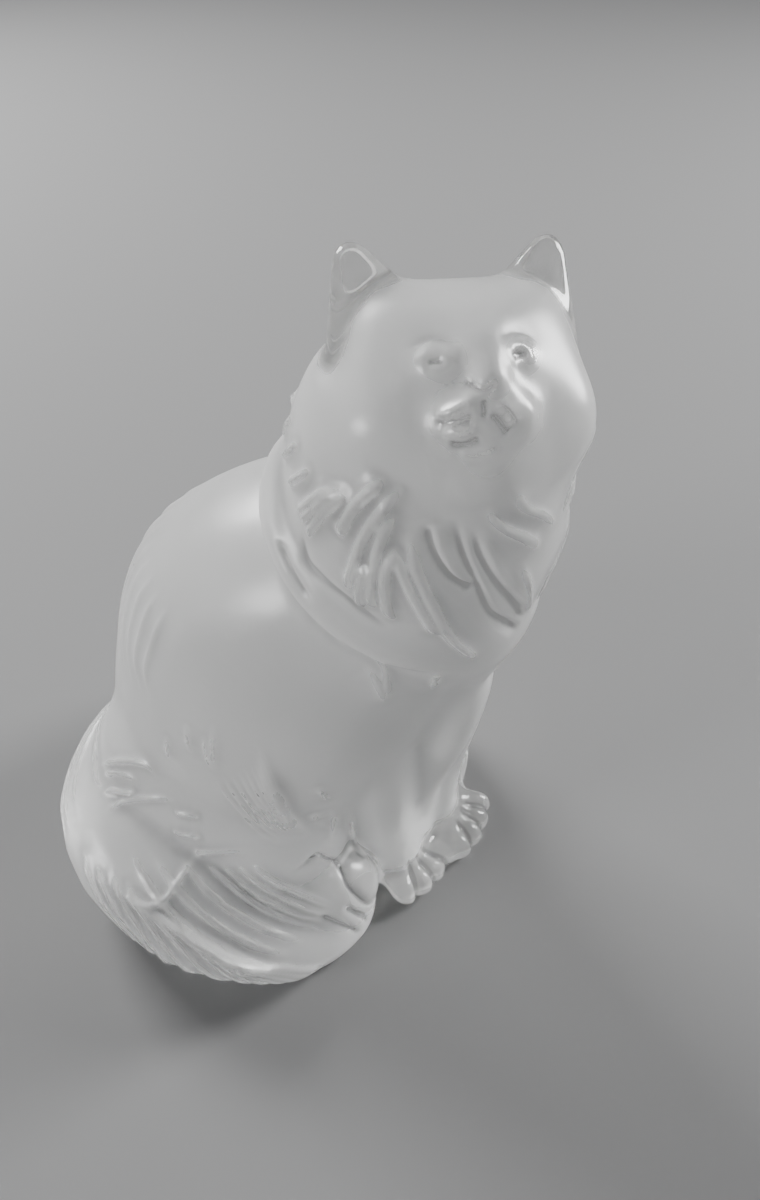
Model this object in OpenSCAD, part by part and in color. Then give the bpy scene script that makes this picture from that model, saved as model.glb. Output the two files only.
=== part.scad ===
// Seated long-haired cat, pressed in one piece of satin-finished crystal glass.
// The cat's chest faces -Y and its right side is -X. The tail lies along the right side.
// The casting is divided into its sculpted regions, which meet face to face.

/* [Body] */
// Height of the nape of the neck above the resting face
nape_h = 66; // [54:1:80]
// Width across the ribs
body_w = 33; // [27:1:40]
// Depth from chest to back, low on the body
body_d = 42; // [34:1:51]
// Height of the ground foot, the flat slice that the figure stands on
foot_h = 1.5; // [1.2:0.1:2]

/* [Head] */
// Width across the cheeks
head_w = 22.4; // [18:0.2:27]
// Height from chin to crown
head_h = 18; // [15:0.5:22]
// Length from the back of the skull to the whisker pads
head_l = 22; // [18:0.5:27]
// Turn of the head towards the cat's right, in degrees
head_turn = 44; // [36:1:54]
// Lift of the face above level, in degrees
head_lift = 31; // [25:1:38]
// Lean of the head towards the cat's left, in degrees
head_lean = 4; // [3:0.5:5]
// Height of an ear above the crown
ear_h = 3.1; // [2.5:0.1:3.8]
// Width of an ear at its root
ear_w = 7.5; // [6:0.5:9]

/* [Coat] */
// Width of the chest ruff
ruff_w = 25; // [20:1:30]
// Thickness of the long lock from the nape round each shoulder
lock_t = 3.4; // [2.8:0.1:4.2]

/* [Legs] */
// Width of a foreleg at the wrist
leg_w = 8.6; // [7:0.2:10.4]
// Distance between the centres of the forepaws
paw_gap = 8.6; // [7:0.2:10.4]
// How far the left foreleg stands ahead of the right one
stance = 1.6; // [1.2:0.1:2]
// How far each forepaw points outwards, in degrees
toe_out = 9; // [7:0.5:11]
// Width of a forepaw across the toes
paw_w = 11; // [8.8:0.2:13.2]
// Height of a forepaw
paw_h = 6.5; // [5.4:0.1:7.8]
// Length of a haunch
haunch_l = 32; // [26:1:39]
// Height of a haunch
haunch_h = 34; // [28:1:41]
// Length of a hind paw
hind_l = 16; // [13:1:20]

/* [Tail] */
// Width of the tail at its fullest
tail_w = 15; // [12:0.5:18]
// Height of the tail at its fullest
tail_t = 17; // [14:0.5:21]

/* [Hidden] */
// Where two forms overlap, the one that comes first here keeps the glass
ORDER = ["left_eye", "right_eye", "nose", "muzzle", "left_ear", "right_ear", "head",
         "right_collar_lock", "left_collar_lock", "chest_ruff", "right_forepaw", "left_forepaw",
         "right_hind_paw", "left_hind_paw", "tail", "right_foreleg", "left_foreleg",
         "right_haunch", "left_haunch", "torso"];
right = -1;
left = 1;
sides = 24;
steps = 3;
ball_fn = 22;
toe_fn = 14;
block = 200;
up = [0, 0, 1];
// Middle of the skull
head_c = [1.8, -16.8, nape_h + 11.2];
// Point on the ground midway between the forepaws
paw_mid = [1.9, -16.0, 0];
// Half sizes of an eye, and of the rounded ends of the nose
eye_r = [1.5, 1.4, 0.95];
nose_r = [1.3, 1.1, 1.0];

// A smooth curve through the rows of a list, with a few steps between each two rows
function spline(a, b, c, d, t) = 0.5 * (2 * b + (c - a) * t + (2 * a - 5 * b + 4 * c - d) * t * t
                                        + (3 * b - a - 3 * c + d) * t * t * t);
function eased(rows) = let (n = len(rows) - 1)
    [for (i = [0 : n - 1], k = [0 : steps - 1])
         spline(rows[max(i - 1, 0)], rows[i], rows[i + 1], rows[min(i + 2, n)], k / steps), rows[n]];
function unit(v) = v / norm(v);
function place(row) = [row[0], row[1], row[2]];
function ring(row, u, w) = [for (k = [0 : sides - 1])
    place(row) + row[3] * cos(360 * k / sides) * u + row[4] * sin(360 * k / sides) * w];

// A closed skin over a stack of rings
module skin(rings) {
    n = len(rings);
    polyhedron([for (r = rings) each r], concat(
        [[for (k = [0 : sides - 1]) k]],
        [[for (k = [sides - 1 : -1 : 0]) (n - 1) * sides + k]],
        [for (i = [0 : n - 2], k = [0 : sides - 1])
            let (a = i * sides + k, b = i * sides + (k + 1) % sides)
            each [[a, a + sides, b], [b, a + sides, b + sides]]]), convexity = 4);
}

// Rows are [x, y, z, half width, half depth], stacked with level rings
module upright(rows) skin([for (q = eased(rows)) ring(q, [1, 0, 0], [0, 1, 0])]);

// Rows are [x, y, z, half width, half height], with rings square to the path
module swept(rows, up) {
    q = eased(rows);
    n = len(q) - 1;
    skin([for (i = [0 : n])
        let (t = unit(place(q[min(i + 1, n)]) - place(q[max(i - 1, 0)])), u = unit(cross(up, t)))
            ring(q[i], u, cross(t, u))]);
}

module ball(c, r, fn = ball_fn) translate(c) scale(r) sphere(1, $fn = fn);

// The forms meet along carved seams, so each region is worked out as one mesh
module as_one_mesh() resize([0, 0, 0]) children();

module under(h) translate([-block / 2, -block / 2, h - block]) cube(block);

module region(name) {
    rank = search([name], ORDER)[0];
    as_one_mesh() difference() {
        form(name);
        for (i = [0 : 1 : rank - 1]) form(ORDER[i]);
        under(foot_h);
    }
}

// Things on the head are placed in its own frame: the face looks along -Y and the crown is +Z
module on_head()
    translate(head_c) rotate([0, 0, -head_turn]) rotate([-head_lift, 0, 0]) rotate([0, head_lean, 0])
        children();

module torso_form() {
    w = body_w / 2;
    d = body_d / 2;
    upright([
        [-0.4, 9.2, -1, w * 0.98, d * 0.82],
        [-0.6, 9.8, nape_h * 0.10, w * 1.04, d * 0.91],
        [-0.8, 9.6, nape_h * 0.22, w * 1.12, d * 0.98],
        [-0.8, 8.2, nape_h * 0.36, w * 1.10, d * 1.03],
        [-0.5, 5.5, nape_h * 0.50, w * 1.06, d * 1.05],
        [0, 2.4, nape_h * 0.64, w * 1.00, d * 1.04],
        [0.4, -0.8, nape_h * 0.76, w * 0.94, d * 0.96],
        [0.9, -5.0, nape_h * 0.86, w * 0.78, d * 0.79],
        [1.2, -8.6, nape_h * 0.93, w * 0.56, d * 0.58],
        [1.4, -11.6, nape_h * 0.98, w * 0.36, d * 0.36]]);
    // The web of glass that joins the forelegs
    upright([
        [paw_mid[0], -10.0, -1, leg_w * 0.42, leg_w * 0.62],
        [paw_mid[0], -11.0, nape_h * 0.24, leg_w * 0.46, leg_w * 0.68],
        [paw_mid[0] + 1.6, -12.4, nape_h * 0.42, leg_w * 0.60, leg_w * 0.88],
        [paw_mid[0] + 1.6, -13.8, nape_h * 0.60, leg_w * 0.70, leg_w * 0.92],
        [paw_mid[0] + 0.8, -13.8, nape_h * 0.70, leg_w * 0.50, leg_w * 0.70]]);
}

module head_form() {
    w = head_w / 2;
    h = head_h / 2;
    l = head_l / 2;
    on_head() hull() {
        for (s = [right, left]) {
            ball([s * w * 0.36, l * 0.05, h * 0.44], [w * 0.46, l * 0.52, h * 0.56]);
            ball([s * w * 0.48, -l * 0.10, -h * 0.20], [w * 0.50, l * 0.56, h * 0.62]);
        }
        ball([0, l * 0.34, 0], [w * 0.72, l * 0.60, h * 0.84]);
        ball([0, -l * 0.36, h * 0.20], [w * 0.46, l * 0.42, h * 0.62]);
        ball([0, -l * 0.38, -h * 0.50], [w * 0.50, l * 0.46, h * 0.50]);
    }
}

module muzzle_form() {
    w = head_w / 2;
    h = head_h / 2;
    l = head_l / 2;
    on_head() {
        for (s = [right, left])
            ball([s * w * 0.15, -l * 0.78, -h * 0.12], [w * 0.20, l * 0.20, h * 0.20], toe_fn);
        ball([0, -l * 0.74, -h * 0.38], [w * 0.18, l * 0.18, h * 0.20], toe_fn);
    }
}

module nose_form() {
    h = head_h / 2;
    l = head_l / 2;
    on_head() hull() {
        ball([0, -l * 0.68, h * 0.52], nose_r, toe_fn);
        ball([0, -l * 0.92, h * 0.16], nose_r, toe_fn);
    }
}

module eye_form(s) on_head()
    ball([s * head_w * 0.132, -head_l * 0.335, head_h * 0.17], eye_r, toe_fn);

module ear_form(s) {
    w = head_w / 2;
    h = head_h / 2;
    tip = h + ear_h;
    root = w * 0.50;
    on_head() difference() {
        hull() {
            ball([s * w * 0.70, 0.6, tip - 1.1], [1.4, 1.1, 1.1], toe_fn);
            ball([s * (root - ear_w * 0.20), 0.8, h * 0.76], [1.6, 1.9, 1.6], toe_fn);
            ball([s * (root + ear_w * 0.38), 0.4, h * 0.36], [1.8, 2.2, 1.8], toe_fn);
            ball([s * root, 2.8, h * 0.44], [2.2, 2.0, 1.8], toe_fn);
        }
        hull() {
            ball([s * w * 0.68, -1.3, tip - 2.8], [0.7, 0.9, 0.7], toe_fn);
            ball([s * w * 0.60, -2.2, h * 0.92], [2.0, 1.5, 1.2], toe_fn);
        }
    }
}

module ruff_form() {
    w = ruff_w / 2;
    upright([
        [3.4, -20.4, nape_h - 23, w * 0.20, 1.6],
        [3.2, -18.9, nape_h - 19, w * 0.48, 4.4],
        [2.4, -16.4, nape_h - 13, w * 0.82, 9.0],
        [1.7, -14.6, nape_h - 7, w * 0.98, 11.2],
        [1.5, -14.6, nape_h - 1, w * 1.00, 12.4],
        [1.3, -14.5, nape_h + 5, w * 0.94, 12.2],
        [0.9, -14.3, nape_h + 10, w * 0.84, 10.8],
        [0.4, -14.0, nape_h + 14, w * 0.62, 8.4]]);
}

module collar_lock_form(s) {
    t = lock_t / 2;
    x = body_w / 2;
    z = nape_h;
    swept([
        [1.8 + s * 3.6, -4.6, z + 6.0, t * 0.5, t * 0.6],
        [1.8 + s * 5.6, -2.8, z + 3.0, t * 0.9, t * 1.0],
        [1.6 + s * x * 0.54, -4.2, z - 0.2, t * 1.0, t * 1.2],
        [1.4 + s * x * 0.67, -8.2, z - 3.2, t * 1.1, t * 1.3],
        [1.2 + s * x * 0.70, -12.6, z - 5.6, t * 1.1, t * 1.3],
        [1.2 + s * x * 0.66, -16.4, z - 7.6, t * 1.0, t * 1.2],
        [1.2 + s * x * 0.54, -19.8, z - 9.8, t * 0.8, t * 0.9],
        [1.2 + s * x * 0.36, -22.6, z - 12.6, t * 0.3, t * 0.4]], up);
}

module foreleg_form(s) {
    w = leg_w / 2;
    x = paw_mid[0] + s * paw_gap / 2;
    y = paw_mid[1] + 4.4;
    lead = s * stance;
    upright([
        [x, y + 0.5 - lead * 0.2, -1, w, w * 1.40],
        [x, y + 0.5 - lead * 0.2, paw_h, w * 0.98, w * 1.36],
        [x + s * 0.3, y + 0.8 - lead * 0.6, nape_h * 0.24, w * 1.02, w * 1.36],
        [x + s * 0.7, y + 1.2 - lead, nape_h * 0.40, w * 1.24, w * 1.70],
        [x + s * 1.0, y + 1.7 - lead * 1.4, nape_h * 0.56, w * 1.36, w * 1.90],
        [x + s * 0.8, y + 2.2 - lead * 1.3, nape_h * 0.68, w * 1.16, w * 1.55],
        [x + s * 0.4, y + 2.6 - lead, nape_h * 0.78, w * 0.50, w * 0.60]]);
}

module forepaw_form(s) {
    w = paw_w / 2;
    toe_r = paw_w * 0.17;
    x = paw_mid[0] + 0.6 + s * paw_gap / 2;
    y = paw_mid[1] + 1.4 - s * stance / 2;
    translate([x, y, 0]) rotate([0, 0, s * toe_out]) {
        hull() {
            ball([0, 2.4, paw_h * 0.40], [w * 0.88, w * 0.82, paw_h * 0.60]);
            ball([0, -1.2, paw_h * 0.32], [w * 0.91, w * 0.64, paw_h * 0.50]);
        }
        for (i = [-1.5 : 1 : 1.5])
            ball([i * toe_r * 1.28, abs(i) * 0.5 - w * 0.84, toe_r],
                [toe_r, toe_r * 1.3, toe_r * 1.3], toe_fn);
    }
}

module haunch_form(s) {
    hull() {
        ball([s * body_w * 0.32, 12, haunch_h * 0.40],
            [body_w * 0.35, haunch_l * 0.50, haunch_h * 0.52]);
        ball([s * body_w * 0.36, -1.5, haunch_h * 0.30],
            [body_w * 0.24, haunch_l * 0.27, haunch_h * 0.36]);
        ball([s * body_w * 0.34, 7, haunch_h * 0.10],
            [body_w * 0.25, haunch_l * 0.38, haunch_h * 0.20]);
    }
}

module hind_paw_form(s) {
    l = hind_l / 2;
    hull() {
        ball([s * body_w * 0.51, -3.4, 6.4], [4.8, l * 0.66, 6.4]);
        ball([s * body_w * 0.37, -10.2, 5.4], [6.2, l * 0.68, 6.6]);
    }
}

module tail_form() {
    x = body_w / 2;
    y = body_d / 2;
    w = tail_w / 2;
    h = tail_t / 2;
    swept([
        [x * 0.30, y * 1.10, 8.0, w * 0.50, h * 0.60],
        [-x * 0.24, y * 1.19, 9.2, w * 0.80, h * 0.90],
        [-x * 0.85, y * 1.13, 9.4, w * 1.00, h * 1.06],
        [-x * 1.36, y * 0.82, 8.6, w * 1.10, h * 1.06],
        [-x * 1.50, y * 0.33, 6.8, w * 1.02, h * 0.94],
        [-x * 1.42, -y * 0.12, 4.6, w * 0.86, h * 0.72],
        [-x * 1.14, -y * 0.48, 3.0, w * 0.64, h * 0.50],
        [-x * 0.78, -y * 0.65, 2.4, w * 0.36, h * 0.32],
        [-x * 0.58, -y * 0.69, 2.2, w * 0.08, h * 0.10]], up);
}

module form(name) {
    if (name == "left_eye") eye_form(left);
    if (name == "right_eye") eye_form(right);
    if (name == "nose") nose_form();
    if (name == "muzzle") muzzle_form();
    if (name == "left_ear") ear_form(left);
    if (name == "right_ear") ear_form(right);
    if (name == "head") head_form();
    if (name == "right_collar_lock") collar_lock_form(right);
    if (name == "left_collar_lock") collar_lock_form(left);
    if (name == "chest_ruff") ruff_form();
    if (name == "right_forepaw") forepaw_form(right);
    if (name == "left_forepaw") forepaw_form(left);
    if (name == "right_hind_paw") hind_paw_form(right);
    if (name == "left_hind_paw") hind_paw_form(left);
    if (name == "tail") tail_form();
    if (name == "right_foreleg") foreleg_form(right);
    if (name == "left_foreleg") foreleg_form(left);
    if (name == "right_haunch") haunch_form(right);
    if (name == "left_haunch") haunch_form(left);
    if (name == "torso") torso_form();
}

module ground_base() color("gainsboro") as_one_mesh() difference() {
    for (name = ORDER) form(name);
    under(0);
    translate([-block / 2, -block / 2, foot_h]) cube(block);
}
module left_eye() color("white") region("left_eye");
module right_eye() color("white") region("right_eye");
module nose() color("whitesmoke") region("nose");
module muzzle() color("whitesmoke") region("muzzle");
module left_ear() color("lightgray") region("left_ear");
module right_ear() color("lightgray") region("right_ear");
module head() color("whitesmoke") region("head");
module right_collar_lock() color("white") region("right_collar_lock");
module left_collar_lock() color("white") region("left_collar_lock");
module chest_ruff() color("white") region("chest_ruff");
module right_forepaw() color("lightgray") region("right_forepaw");
module left_forepaw() color("lightgray") region("left_forepaw");
module right_hind_paw() color("gainsboro") region("right_hind_paw");
module left_hind_paw() color("gainsboro") region("left_hind_paw");
module tail() color("linen") region("tail");
module right_foreleg() color("whitesmoke") region("right_foreleg");
module left_foreleg() color("whitesmoke") region("left_foreleg");
module right_haunch() color("gainsboro") region("right_haunch");
module left_haunch() color("gainsboro") region("left_haunch");
module torso() color("gainsboro") region("torso");

ground_base();
left_eye();
right_eye();
nose();
muzzle();
left_ear();
right_ear();
head();
right_collar_lock();
left_collar_lock();
chest_ruff();
right_forepaw();
left_forepaw();
right_hind_paw();
left_hind_paw();
tail();
right_foreleg();
left_foreleg();
right_haunch();
left_haunch();
torso();
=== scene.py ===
import math

import bmesh
import bpy
import numpy as np
from mathutils import Euler, Matrix, Vector, kdtree
from mathutils.bvhtree import BVHTree


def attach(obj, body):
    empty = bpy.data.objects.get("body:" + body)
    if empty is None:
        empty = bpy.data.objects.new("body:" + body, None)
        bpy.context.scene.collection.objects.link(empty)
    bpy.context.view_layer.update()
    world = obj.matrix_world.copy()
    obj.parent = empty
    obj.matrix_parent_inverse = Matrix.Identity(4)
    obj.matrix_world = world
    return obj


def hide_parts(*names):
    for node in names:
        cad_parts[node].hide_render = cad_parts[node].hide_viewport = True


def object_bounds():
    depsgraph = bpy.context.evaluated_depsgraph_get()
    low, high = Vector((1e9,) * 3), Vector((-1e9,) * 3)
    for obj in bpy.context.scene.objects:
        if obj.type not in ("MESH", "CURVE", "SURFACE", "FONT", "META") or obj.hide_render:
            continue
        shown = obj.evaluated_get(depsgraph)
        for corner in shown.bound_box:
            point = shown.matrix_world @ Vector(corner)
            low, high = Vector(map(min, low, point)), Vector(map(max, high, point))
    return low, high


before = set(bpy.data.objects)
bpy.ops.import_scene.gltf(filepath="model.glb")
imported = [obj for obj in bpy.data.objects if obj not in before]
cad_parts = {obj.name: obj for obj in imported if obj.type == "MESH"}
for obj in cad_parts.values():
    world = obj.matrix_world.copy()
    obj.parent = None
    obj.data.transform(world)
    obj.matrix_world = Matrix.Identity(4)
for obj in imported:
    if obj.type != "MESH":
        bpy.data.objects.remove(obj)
cad_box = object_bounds()


# The pressing
# The whole cat is one gather of crystal, pressed in a mould that is cut region by region.
# The casting comes out with blocky seams, and the grinding wheel rubs them soft.

mm = 0.001
swell = 0.2
block_cell = 0.6
skin_cell = 0.26
seam_rounds = 24
skin_rounds = 6
blend_rounds = 12

# How soft the wheel leaves each region, how far it is polished, and its finish
regions = {
    "torso": (1.0, 0, "satin_crystal"),
    "head": (0.7, 0, "satin_crystal"),
    "chest_ruff": (0.8, 0, "satin_crystal"),
    "tail": (0.8, 0, "satin_crystal"),
    "ground_base": (0.4, 0, "ground_glass"),
    "right_haunch": (1.0, 0, "satin_crystal"),
    "left_haunch": (1.0, 0, "satin_crystal"),
    "right_foreleg": (0.9, 0, "satin_crystal"),
    "left_foreleg": (0.9, 0, "satin_crystal"),
    "right_collar_lock": (0.35, 0, "satin_crystal"),
    "left_collar_lock": (0.35, 0, "satin_crystal"),
    "right_hind_paw": (0.35, 0.3, "clear_crystal"),
    "left_hind_paw": (0.35, 0.3, "clear_crystal"),
    "right_forepaw": (0.12, 0.8, "clear_crystal"),
    "left_forepaw": (0.12, 0.8, "clear_crystal"),
    "right_ear": (0.12, 0.85, "clear_crystal"),
    "left_ear": (0.12, 0.85, "clear_crystal"),
    "right_eye": (0.9, 0.4, "polished_crystal"),
    "left_eye": (0.9, 0.4, "polished_crystal"),
    "nose": (0.6, 0.05, "satin_crystal"),
    "muzzle": (0.6, 0.25, "satin_crystal"),
}
softness, lustre, _ = map(list, zip(*regions.values()))


def remeshed(mesh, cell):
    """The mesh rebuilt as one even skin of small squares"""
    scene = bpy.context.scene
    block = bpy.data.objects.new("block", mesh)
    scene.collection.objects.link(block)
    skin = block.modifiers.new("skin", "REMESH")
    skin.mode = "VOXEL"
    skin.voxel_size = cell * mm
    shaped = block.evaluated_get(bpy.context.evaluated_depsgraph_get())
    made = bpy.data.meshes.new_from_object(shaped)
    bpy.data.objects.remove(block)
    return made


def read(items, what, width, kind=np.float32):
    values = np.empty(len(items) * width, kind)
    items.foreach_get(what, values)
    return values.reshape(-1, width)


def points_of(mesh):
    return read(mesh.vertices, "co", 3).astype(float) / mm


def place_points(mesh, points):
    mesh.vertices.foreach_set("co", (points * mm).astype(np.float32).ravel())
    mesh.update()


def nearest(points, targets):
    """For each point, the number of the target closest to it"""
    tree = kdtree.KDTree(len(targets))
    for number, target in enumerate(targets):
        tree.insert(target, number)
    tree.balance()
    return np.array([tree.find(point)[1] for point in points])


def rubbed(values, ends, rounds, strength=0.5):
    """Values at the points of a mesh, drawn towards those at the neighbouring points"""
    neighbours = np.bincount(ends.ravel(), minlength=len(values)).clip(1)
    for _ in range(rounds):
        mean = np.empty_like(values)
        for axis in range(values.shape[1]):
            total = np.bincount(ends[:, 0], values[ends[:, 1], axis], len(values))
            total += np.bincount(ends[:, 1], values[ends[:, 0], axis], len(values))
            mean[:, axis] = total / neighbours
        values = values + (mean - values) * strength
    return values


gather = bmesh.new()
samples = []
sample_region = []
for number, name in enumerate(regions):
    pattern = bmesh.new()
    pattern.from_mesh(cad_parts[name].data)
    bmesh.ops.remove_doubles(pattern, verts=pattern.verts, dist=0.001 * mm)
    pattern.normal_update()
    for vert in pattern.verts:
        vert.co += vert.normal * swell * mm
    copy = bpy.data.meshes.new("pattern")
    pattern.to_mesh(copy)
    pattern.free()
    gather.from_mesh(copy)
    spots = points_of(remeshed(copy, block_cell))
    samples.append(spots)
    sample_region += [number] * len(spots)
rough = bpy.data.meshes.new("rough")
gather.to_mesh(rough)
gather.free()
samples = np.concatenate(samples)
sample_region = np.array(sample_region)

block = remeshed(rough, block_cell)
ends = read(block.edges, "vertices", 2, np.int32)
points = points_of(block)
soft = np.array(softness)[sample_region[nearest(points, samples)]][:, None]
soft = rubbed(soft, ends, skin_rounds)
points = rubbed(points, ends, seam_rounds, 0.5 * soft)
place_points(block, points)
wall = BVHTree.FromPolygons(points.tolist(), [list(face.vertices) for face in block.polygons])

cast = remeshed(block, skin_cell)
ends = read(cast.edges, "vertices", 2, np.int32)
skin = rubbed(points_of(cast), ends, skin_rounds)
place_points(cast, skin)
normal = read(cast.vertices, "normal", 3).astype(float)
belongs = np.eye(len(regions))[sample_region[nearest(skin, samples)]]
belongs = rubbed(belongs, ends, blend_rounds)
polish = belongs @ np.array(lustre)
relief = np.zeros(len(skin))


# Torso and haunches
# The back, the flanks and the folded thighs, in satin crystal. The hair is carved in the mould as
# sharp crests with hollows between them, faint on the flanks and curled into a whorl on the rump.

crest_edge = 0.15
reach = 5
glint = 0.55


def around(centre):
    """Seats for strokes given as (turn from the chest towards the left side, rise), in degrees"""
    centre = Vector(centre)
    far = 100

    def seat(turn, rise):
        turn = math.radians(turn)
        rise = math.radians(rise)
        level = math.cos(rise)
        out = Vector((math.sin(turn) * level, -math.cos(turn) * level, math.sin(rise)))
        return wall.ray_cast(centre + out * far, -out)[:2]
    return seat


def spline(path, count):
    """A smooth curve through the points of a path, as an even list"""
    path = np.array(path, float)
    last = len(path) - 1
    curve = []
    for t in np.linspace(0, last, count):
        i = min(int(t), last - 1)
        t -= i
        a, b, c, d = (path[min(max(i + k, 0), last)] for k in (-1, 0, 1, 2))
        curve.append(0.5 * (2 * b + (c - a) * t + (2 * a - 5 * b + 4 * c - d) * t ** 2
                            + (3 * b - a - 3 * c + d) * t ** 3))
    return np.array(curve)


def stroke(path, seat, width, height, lift=0.0, fade=(0.2, 0.35), shine=0.0):
    """Raises a crest along a path, or cuts a groove if height is below 0. A lift steps the skin
    up on the left of the path and down on its right. The fade is at the start and at the end."""
    hits = [seat(*spot) for spot in spline(path, 8 * len(path))]
    line = np.array([spot for spot, _ in hits])
    facing = np.array([out for _, out in hits])
    margin = reach * width
    inside = (skin > line.min(0) - margin) & (skin < line.max(0) + margin)
    near = np.nonzero(inside.all(axis=1))[0]

    step = np.diff(line, axis=0)
    length = np.linalg.norm(step, axis=1)
    run = np.concatenate([[0], np.cumsum(length)])
    gap = skin[near][:, None, :] - line[None, :-1, :]
    t = (np.einsum("nkc,kc->nk", gap, step) / length ** 2).clip(0, 1)
    off = gap - t[:, :, None] * step[None]
    away = np.linalg.norm(off, axis=2)
    best = away.argmin(1)
    rows = np.arange(len(near))
    off = off[rows, best]
    away = away[rows, best]
    along = (run[best] + t[rows, best] * length[best]) / run[-1]
    left = np.cross(normal[near], step[best] / length[best][:, None])
    across = np.einsum("nc,nc->n", off, left)

    ease = (along / fade[0]).clip(0, 1) * ((1 - along) / fade[1]).clip(0, 1)
    ease = ease * ease * (3 - 2 * ease)
    ease *= np.einsum("nc,nc->n", normal[near], facing[best]) > -0.1
    crest = np.exp((crest_edge - np.hypot(away, crest_edge)) / width)
    slope = np.tanh(across / (0.6 * width)) * np.exp(-(away / (2.2 * width)) ** 2)
    relief[near] += (height * crest + lift * slope) * ease
    bright = glint * shine * ease * np.exp(-(away / (0.7 * width)) ** 2)
    polish[near] = np.maximum(polish[near], bright)


def combed(guides, count):
    """Paths spread evenly from the first guide path to the last"""
    guides = np.array(guides, float)
    for t in np.linspace(0, len(guides) - 1, count):
        i = min(int(t), len(guides) - 2)
        yield guides[i] + (guides[i + 1] - guides[i]) * (t - i)


def mirrored(path):
    return [(-turn, rise) for turn, rise in path]


def carve(paths, seat, width, height, **finish):
    """The same strokes on the right side and on the left side"""
    for path in paths:
        stroke(path, seat, width, height, **finish)
        stroke(mirrored(path), seat, width, height, **finish)


low = around((0, 6, 20))
thigh_hair = combed([
    [(-75, 31), (-70, 21), (-62, 3), (-54, -4)],
    [(-66, 36), (-61, 26), (-56, 10), (-50, -4)],
    [(-59, 41), (-55, 30), (-51, 12), (-46, -6)],
    [(-56, 47), (-52, 34), (-48, 12), (-43, -6)],
], 9)
carve(thigh_hair, low, 0.65, 0.4, shine=0.2, fade=(0.3, 0.3))
flank_hair = (
    [(-71, 50), (-73, 41), (-74, 31)],
    [(-76, 46), (-76, 40), (-75, 31)],
    [(-39, 31), (-35, 18)],
    [(-41, 13), (-40, 4)],
    [(-35, 13), (-34, 0), (-36, -16)],
    [(-28, 9), (-26, -10), (-24, -32)],
    [(-95, 38), (-97, 25)],
    [(-84, 47), (-84, 35)],
)
carve(flank_hair, low, 0.7, 0.35, shine=0.25, fade=(0.4, 0.4))
rump_whorl = (
    [(-128, -4), (-122, 4), (-114, 12), (-107, 15), (-101, 12)],
    [(-124, -4), (-119, 2), (-113, 6), (-108, 6)],
    [(-119, -5), (-114, -2), (-109, 2)],
    [(-114, -6), (-104, 3), (-93, 8)],
    [(-94, 1), (-89, 3), (-84, 3)],
    [(-95, -8), (-90, -7), (-83, -6)],
    [(-100, -10), (-93, -13), (-84, -13), (-73, -9), (-62, -5)],
)
carve(rump_whorl, low, 0.5, 0.6, shine=0.5, fade=(0.3, 0.3))
back_hair = combed([
    [(100, 42), (108, 20), (112, 0), (104, -18)],
    [(140, 48), (142, 22), (140, 0), (132, -20)],
    [(180, 52), (182, 26), (178, 2), (184, -20)],
    [(220, 48), (218, 22), (220, 0), (228, -18)],
    [(260, 42), (252, 20), (248, 2), (254, -12)],
], 15)
for path in back_hair:
    stroke(path, around((0, 5, 40)), 0.9, 0.3, shine=0.1, fade=(0.25, 0.35))


# Tail
# A thick brush of hair that grows out of the rump and lies along the right side, in satin crystal.
# Long crests run down its outer side, round its back and along its top, and catch the light.

outer_hair = combed([
    [(-111, -10), (-100, -16), (-92, -28)],
    [(-99, -10), (-87, -17), (-77, -29)],
    [(-90, -13), (-75, -19), (-60, -31)],
    [(-83, -15), (-66, -22), (-48, -33)],
    [(-70, -22), (-57, -25), (-44, -31)],
], 11)
for path in outer_hair:
    stroke(path, low, 0.55, 0.75, shine=0.8, fade=(0.2, 0.25))
rear_hair = combed([
    [(-215, -24), (-180, -27), (-150, -28), (-118, -30)],
    [(-210, -14), (-178, -14), (-150, -14), (-114, -16)],
    [(-205, -4), (-176, -3), (-150, -3), (-116, -5)],
], 8)
for path in rear_hair:
    stroke(path, low, 0.6, 0.6, shine=0.6, fade=(0.2, 0.2))
top_hair = combed([
    [(-102, 54), (-84, 49), (-68, 44), (-56, 41)],
    [(-84, 58), (-68, 53), (-54, 49), (-44, 46)],
    [(-66, 60), (-54, 56), (-46, 53), (-39, 50)],
], 7)
for path in top_hair:
    stroke(path, around((0, 6, -20)), 0.6, 0.6, shine=0.9, fade=(0.3, 0.3))


# Hind paws
# Rounded feet that show beside the forelegs, half polished. One deep line parts each of them from
# the thigh, and two short cuts part the toes.

foot_lines = (
    [(-53, -15), (-47, -13), (-42, -13), (-38, -18), (-33, -23), (-27, -32), (-21, -38)],
    [(-37, -23), (-32, -30), (-30, -34)],
    [(-45, -24), (-39, -27), (-33, -33)],
)
carve(foot_lines, low, 0.45, -0.5, shine=0.3, fade=(0.2, 0.2))


# Forepaws
# Clear, fire-polished feet side by side under the chest, a little splayed. Three cuts on each part
# its four toes.

toe_turn = 27
paw_seats = ((-1.8, -13.8, -9), (6.8, -15.4, 9))
for x, y, splay in paw_seats:
    paw = around((x, y, 2.2))
    for turn in (splay - toe_turn, splay, splay + toe_turn):
        cut = [(turn, 55), (turn, 28), (turn, 5), (turn, -20)]
        stroke(cut, paw, 0.4, -0.7, shine=1, fade=(0.3, 0.1))


# Forelegs
# Two straight satin legs joined by a web of glass, with a few soft tufts at the shoulder.

ruff = around((1.5, -11, 66))
shoulder_tufts = (
    [(-72, -43), (-67, -46), (-63, -53), (-61, -57)],
    [(-63, -30), (-61, -48), (-59, -56)],
    [(-40, -40), (-38, -52), (-36, -60)],
)
carve(shoulder_tufts, ruff, 0.7, 0.3, shine=0.3, fade=(0.3, 0.3))


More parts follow.
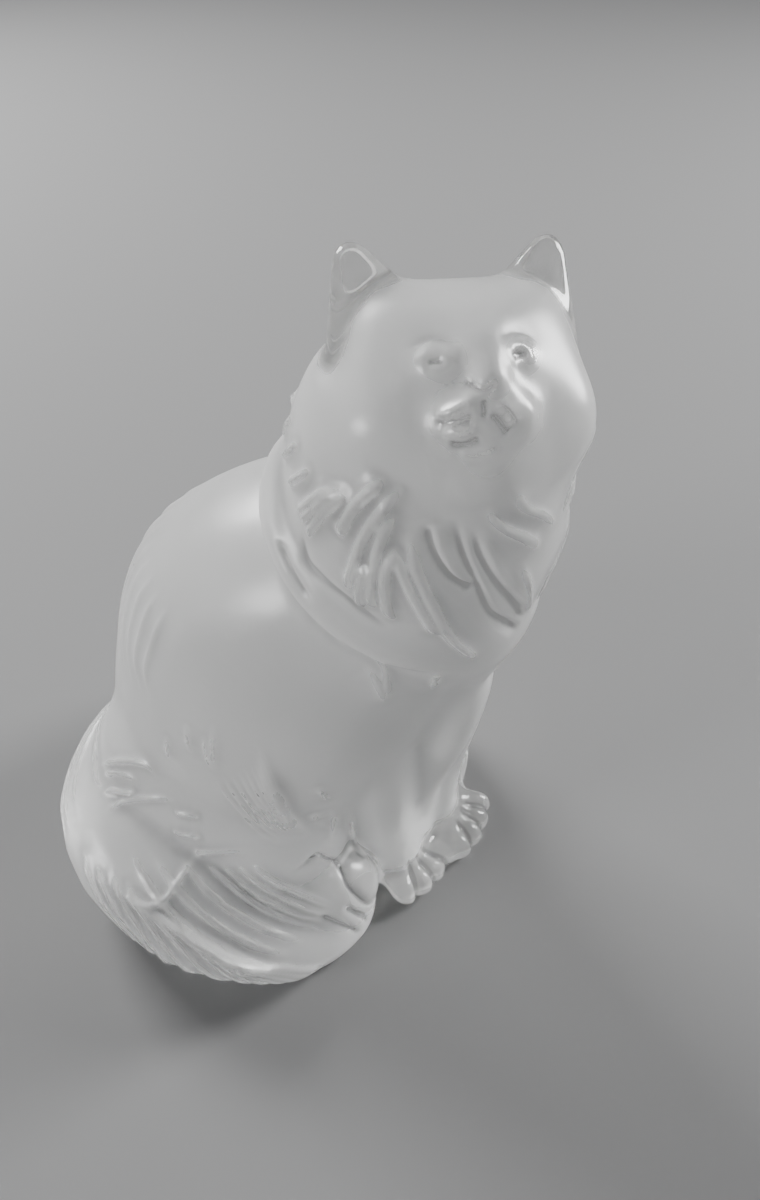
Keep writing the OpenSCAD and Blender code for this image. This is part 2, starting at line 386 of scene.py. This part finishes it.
# Chest ruff
# The bib of long locks under the chin, in satin crystal. Seven sharp polished crests a side fan
# out from the collar, then three deep folds step down to the middle of the chest.

crests = (
    [(-59, 41), (-69, 33), (-74, 25), (-78, 17)],
    [(-53, 39), (-61, 31), (-67, 21), (-71, 8), (-75, -7)],
    [(-55, 32), (-59, 26), (-62, 16), (-64, 2), (-64, -10)],
    [(-65, 13), (-68, 2), (-69, -12)],
    [(-55, 21), (-59, 10), (-59, -3), (-57, -14)],
    [(-55, 20), (-53, 9), (-48, -5), (-42, -20)],
    [(-52, 26), (-50, 14), (-44, -4), (-37, -22), (-24, -39)],
)
carve(crests, ruff, 0.55, 0.75, shine=0.9, fade=(0.2, 0.2))
folds = (
    [(-46, 28), (-44, 18), (-39, 8), (-31, 0)],
    [(-38, 29), (-35, 16), (-30, 2), (-22, -16), (-4, -35)],
    [(-33, 25), (-29, 12), (-22, -2), (-8, -23), (-3, -31)],
)
for path in folds:
    stroke(path, ruff, 0.4, -0.5, lift=0.4, fade=(0.2, 0.1))
    stroke(mirrored(path), ruff, 0.4, -0.5, lift=-0.4, fade=(0.2, 0.1))
middle_locks = (
    [(-31, 31), (-24, 22), (-15, 14), (-8, 5)],
    [(-24, 34), (-16, 25), (-8, 18), (0, 8)],
    [(-18, 8), (-12, -6), (-6, -20), (0, -32)],
)
carve(middle_locks, ruff, 0.6, 0.5, shine=0.4, fade=(0.3, 0.3))


# Collar locks
# The heavy locks that sweep from the nape round each shoulder, in satin crystal. Fine crests spring
# from their upper edge, and two shallow lines follow their length.

fine_crests = (
    [(-115, 23), (-104, 31), (-92, 39)],
    [(-105, 14), (-88, 31), (-77, 36)],
    [(-102, 11), (-85, 29), (-73, 38)],
    [(-97, 6), (-84, 25), (-71, 37)],
    [(-130, 28), (-118, 36), (-104, 44)],
    [(-145, 30), (-134, 40), (-120, 48)],
    [(-165, 30), (-155, 42), (-140, 52)],
)
carve(fine_crests, ruff, 0.45, 0.5, shine=0.6, fade=(0.25, 0.25))
lock_lines = (
    [(-101, 9), (-97, -3), (-85, -8), (-75, -11), (-66, -15), (-58, -19)],
    [(-113, -1), (-104, -7), (-95, -13), (-88, -17)],
)
carve(lock_lines, ruff, 0.4, -0.4, fade=(0.25, 0.25))


# Face
# The satin head with its eyes, nose and muzzle. Each eye is a low ring round a short cut under a
# soft brow hollow. The mouth is a few polished facets, cut with the edge of the wheel.

head_middle = Vector((1.8, -16.8, 77.2))
head_turn = (Matrix.Rotation(math.radians(-44), 3, "Z") @ Matrix.Rotation(math.radians(-31), 3, "X")
             @ Matrix.Rotation(math.radians(4), 3, "Y"))


def on_face(across, up):
    """The seat seen straight in front of the face, across and up from the middle of the head"""
    start = head_middle + head_turn @ Vector((across, -30, up))
    return wall.ray_cast(start, head_turn @ Vector((0, 1, 0)))[:2]


def ring(across, up, wide, high):
    angles = [math.radians(60 * k) for k in range(7)]
    return [(across + wide * math.cos(a), up + high * math.sin(a)) for a in angles]


def buffed(spot, width, shine):
    """Polishes a round facet on the face"""
    away = np.linalg.norm(skin - np.array(on_face(*spot)[0]), axis=1)
    polish[:] = np.maximum(polish, shine * np.exp(-(away / width) ** 2))


for x, z in ((-3.5, 3.0), (2.6, 3.2)):
    pupil = [(x - 0.7, z - 0.05), (x, z), (x + 0.7, z + 0.05)]
    brow = [(x - 2.0, z + 0.9), (x, z + 1.6), (x + 2.0, z + 0.9)]
    stroke(ring(x, z, 1.1, 0.5), on_face, 0.3, 0.09, shine=0.5, fade=(0.01, 0.01))
    stroke(pupil, on_face, 0.3, -0.3, shine=0.5)
    stroke(brow, on_face, 0.6, -0.2, fade=(0.4, 0.4))
mouth = (
    ([(-1.8, 1.7), (-0.8, 0.9), (0.3, 1.6)], -0.24),
    ([(-0.8, 0.5), (-0.7, -0.4), (-0.8, -1.2)], -0.28),
    ([(-3.9, -0.9), (-2.4, -0.2), (-1.1, 0.2)], 0.28),
    ([(-4.0, -1.2), (-2.5, -1.0), (-1.2, -0.7)], -0.28),
    ([(-3.5, -2.0), (-2.3, -2.1), (-1.1, -1.5)], 0.28),
    ([(-3.2, -2.6), (-2.0, -2.8), (-0.9, -2.2)], -0.28),
    ([(0.1, 0.1), (1.0, -0.5), (1.7, -1.6)], 0.28),
    ([(-0.3, -0.6), (0.5, -1.4), (1.2, -2.4)], -0.28),
    ([(-2.4, -3.2), (-1.1, -3.5), (0.5, -3.0)], 0.2),
)
for path, height in mouth:
    stroke(path, on_face, 0.32, height, shine=1, fade=(0.2, 0.2))
buffed((-2.5, -1.1), 1.2, 0.8)
buffed((0.9, -1.2), 0.9, 0.7)


# The carved skin
# All the strokes together, kept inside the size of the casting and flat where the foot is ground.
# Each small square of the skin goes to one region, and a stray patch joins the region around it.

low_corner, high_corner = (np.array(list(corner)) / mm for corner in cad_box)
shape = np.clip(skin + normal * relief[:, None], low_corner, high_corner)
place_points(cast, shape)
cast.shade_smooth()
facing = read(cast.vertices, "normal", 3)
# How far each point sinks below its neighbours, kept only as the mask for the painted shade in the
# hollows.
shade_mask = np.einsum("nc,nc->n", rubbed(shape, ends, 8) - shape, facing)[:, None]
shade_mask = rubbed(shade_mask, ends, 2)[:, 0]


def mark(name, kind, what, values):
    """Keeps a value for each point of the skin"""
    layer = cast.attributes.new(name, kind, "POINT")
    layer.data.foreach_set(what, values.astype(np.float32).ravel())


mark("painted_hollow_shade", "FLOAT", "value", shade_mask)
mark("polish", "FLOAT", "value", polish.clip(0, 1))
mark("facing", "FLOAT_VECTOR", "vector", facing)

corners = read(cast.polygons, "vertices", 4, np.int32)
label = sum(belongs[corners[:, k]] for k in range(4)).argmax(1)
edge_of_side = read(cast.loops, "edge_index", 1, np.int32)[:, 0]
order = np.argsort(edge_of_side, kind="stable")
face_of_side = np.repeat(np.arange(len(corners)), 4)[order]
shared = edge_of_side[order][1:] == edge_of_side[order][:-1]
pairs = np.stack([face_of_side[:-1][shared], face_of_side[1:][shared]], 1)


def patches(label):
    """For each square, the lowest number in the patch of its own region that it is in"""
    group = np.arange(len(label))
    a, b = pairs[label[pairs[:, 0]] == label[pairs[:, 1]]].T
    while True:
        before = group.copy()
        least = np.minimum(group[a], group[b])
        np.minimum.at(group, before[a], least)
        np.minimum.at(group, before[b], least)
        group = group[group]
        if (group == before).all():
            return group


while True:
    group = patches(label)
    size = np.bincount(group, minlength=len(label))
    members = [group[label == number] for number in range(len(regions))]
    main = np.array([patch[size[patch].argmax()] for patch in members])
    stray = group != main[label]
    if not stray.any():
        break
    both_ways = np.concatenate([pairs, pairs[:, ::-1]])
    a, b = both_ways[stray[both_ways[:, 0]] & ~stray[both_ways[:, 1]]].T
    label[a] = label[b]


# The finish
# The satin finish is milky and evenly dull, and the polishing wheel clears the crests, ears and
# paws. The hollows get painted shade: the base colour is greyed where the skin is sunk. The
# milkiness drifts in soft clouds through the body.


def ranged(tree, value, low, high, start=0.0, stop=1.0):
    """A value spread from low to high as the input goes from start to stop"""
    node = tree.nodes.new("ShaderNodeMapRange")
    node.inputs["From Min"].default_value = start
    node.inputs["From Max"].default_value = stop
    node.inputs["To Min"].default_value = low
    node.inputs["To Max"].default_value = high
    tree.links.new(value, node.inputs["Value"])
    return node.outputs["Result"]


def attribute(tree, name):
    node = tree.nodes.new("ShaderNodeAttribute")
    node.attribute_name = name
    return node.outputs["Fac"]


def crystal(name):
    made = bpy.data.materials.new(name)
    made.use_nodes = True
    tree = made.node_tree
    shader = tree.nodes["Principled BSDF"]
    shader.inputs["IOR"].default_value = 1.5

    # Painted shade: the base colour goes from white to grey in the hollows, standing in for shadow
    # in the creases.
    painted_shade = tree.nodes.new("ShaderNodeMix")
    painted_shade.data_type = "RGBA"
    painted_shade.inputs["A"].default_value = (1, 1, 0.99, 1)
    painted_shade.inputs["B"].default_value = (0.5, 0.5, 0.5, 1)
    shade_amount = ranged(tree, attribute(tree, "painted_hollow_shade"), 0, 1, start=-0.01, stop=0.06)
    tree.links.new(shade_amount, painted_shade.inputs["Factor"])
    tree.links.new(painted_shade.outputs["Result"], shader.inputs["Base Color"])

    place = tree.nodes.new("ShaderNodeTexCoord")
    polished = attribute(tree, "polish")
    # What varies, its value when dull and when polished, the size of its clouds, their strength
    for socket, dull, bright, cloud_size, uneven in (
        ("Roughness", 0.3, 0.05, 2.5, 0.1),
        ("Transmission Weight", 0.6, 0.95, 16, 0.3),
    ):
        cloud = tree.nodes.new("ShaderNodeTexNoise")
        cloud.inputs["Scale"].default_value = 1 / (cloud_size * mm)
        tree.links.new(place.outputs["Object"], cloud.inputs["Vector"])
        product = tree.nodes.new("ShaderNodeMath")
        product.operation = "MULTIPLY"
        product.use_clamp = True
        tree.links.new(ranged(tree, polished, dull, bright), product.inputs[0])
        clouds = ranged(tree, cloud.outputs["Fac"], 1 - uneven, 1 + uneven)
        tree.links.new(clouds, product.inputs[1])
        tree.links.new(product.outputs["Value"], shader.inputs[socket])
    return made


glass = {slot: crystal(slot) for slot in sorted({slot for _, _, slot in regions.values()})}


# The pieces
# One closed solid of glass for each region. The cut faces lie inside the casting, where the glass
# is unbroken, so they are clear, and light passes through them without a bend.

cut_depth = 0.6
unbroken = bpy.data.materials.new("inside")
unbroken.use_nodes = True
tree = unbroken.node_tree
tree.nodes.remove(tree.nodes["Principled BSDF"])
clear = tree.nodes.new("ShaderNodeBsdfTransparent")
tree.links.new(clear.outputs[0], tree.nodes["Material Output"].inputs["Surface"])
bpy.context.scene.cycles.transparent_max_bounces = 24

for number, (name, (_, _, slot)) in enumerate(regions.items()):
    piece = bmesh.new()
    piece.from_mesh(cast)
    piece.faces.ensure_lookup_table()
    others = [piece.faces[k] for k in np.nonzero(label != number)[0]]
    bmesh.ops.delete(piece, geom=others, context="FACES")
    rim = [edge for edge in piece.edges if edge.is_boundary]
    inward = piece.verts.layers.float_vector["facing"]
    lip = bmesh.ops.extrude_edge_only(piece, edges=rim)["geom"]
    for part in lip:
        if isinstance(part, bmesh.types.BMVert):
            part.co -= part[inward] * cut_depth * mm
    inner = [part for part in lip if isinstance(part, bmesh.types.BMEdge) and part.is_boundary]
    caps = bmesh.ops.holes_fill(piece, edges=inner, sides=0)["faces"]
    for face in caps + [part for part in lip if isinstance(part, bmesh.types.BMFace)]:
        face.material_index = 1
    bmesh.ops.triangulate(piece, faces=caps)
    mesh = bpy.data.meshes.new(name)
    piece.to_mesh(mesh)
    piece.free()

    mesh.materials.append(glass[slot])
    mesh.materials.append(unbroken)
    seamless = read(mesh.attributes["facing"].data, "vector", 3)
    mesh.normals_split_custom_set_from_vertices(seamless)
    mesh.attributes.remove(mesh.attributes["facing"])
    thing = bpy.data.objects.new(name + "_glass", mesh)
    bpy.context.scene.collection.objects.link(thing)
    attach(thing, "root")
    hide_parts(name)


# Floor
# A plain matt sheet under the foot.

below = 0.05
bpy.ops.mesh.primitive_plane_add(size=4, location=(0, 0, -below * mm))
floor = bpy.context.object
floor.name = "floor"
pale = bpy.data.materials.new("pale_floor")
pale.use_nodes = True
matt = pale.node_tree.nodes["Principled BSDF"]
matt.inputs["Base Color"].default_value = (0.2, 0.2, 0.2, 1)
matt.inputs["Roughness"].default_value = 0.9
floor.data.materials.append(pale)


# Light
# A tall window on the cat's left, one behind it and a small one on its right, in a dim room.

world = bpy.data.worlds.new("studio")
bpy.context.scene.world = world
world.use_nodes = True
room = world.node_tree.nodes["Background"]
room.inputs["Color"].default_value = (0.9, 0.93, 1.0, 1)
room.inputs["Strength"].default_value = 0.15


def softbox(name, place, height, size, power):
    """A soft light aimed at a height above the middle of the foot"""
    data = bpy.data.lights.new(name, "AREA")
    data.shape = "RECTANGLE"
    data.size, data.size_y = size
    data.energy = power
    lamp = bpy.data.objects.new(name, data)
    bpy.context.scene.collection.objects.link(lamp)
    lamp.location = place
    aim = Vector((0, 0, height)) - Vector(place)
    lamp.rotation_euler = aim.to_track_quat("-Z", "Y").to_euler()


softbox("window", (0.42, -0.25, 0.22), 0.045, (0.15, 0.3), 4.5)
softbox("back window", (0.1, 0.45, 0.3), 0.04, (0.2, 0.2), 4.5)
softbox("side window", (-0.4, 0.25, 0.2), 0.04, (0.15, 0.15), 1.5)


# Camera
# Held close, above the cat's right shoulder.

lens = bpy.data.cameras.new("camera")
lens.lens = 26.4
lens.sensor_width = 36
lens.clip_start = 0.005
camera = bpy.data.objects.new("camera", lens)
bpy.context.scene.collection.objects.link(camera)
tilt = Euler((math.radians(43.03), 0, math.radians(-55))).to_matrix()
roll = Matrix.Rotation(math.radians(-1.41), 3, "Z")
spot = Vector((-51.3, -46.0, 118.0)) * mm
camera.matrix_world = Matrix.Translation(spot) @ (tilt @ roll).to_4x4()
bpy.context.scene.camera = camera
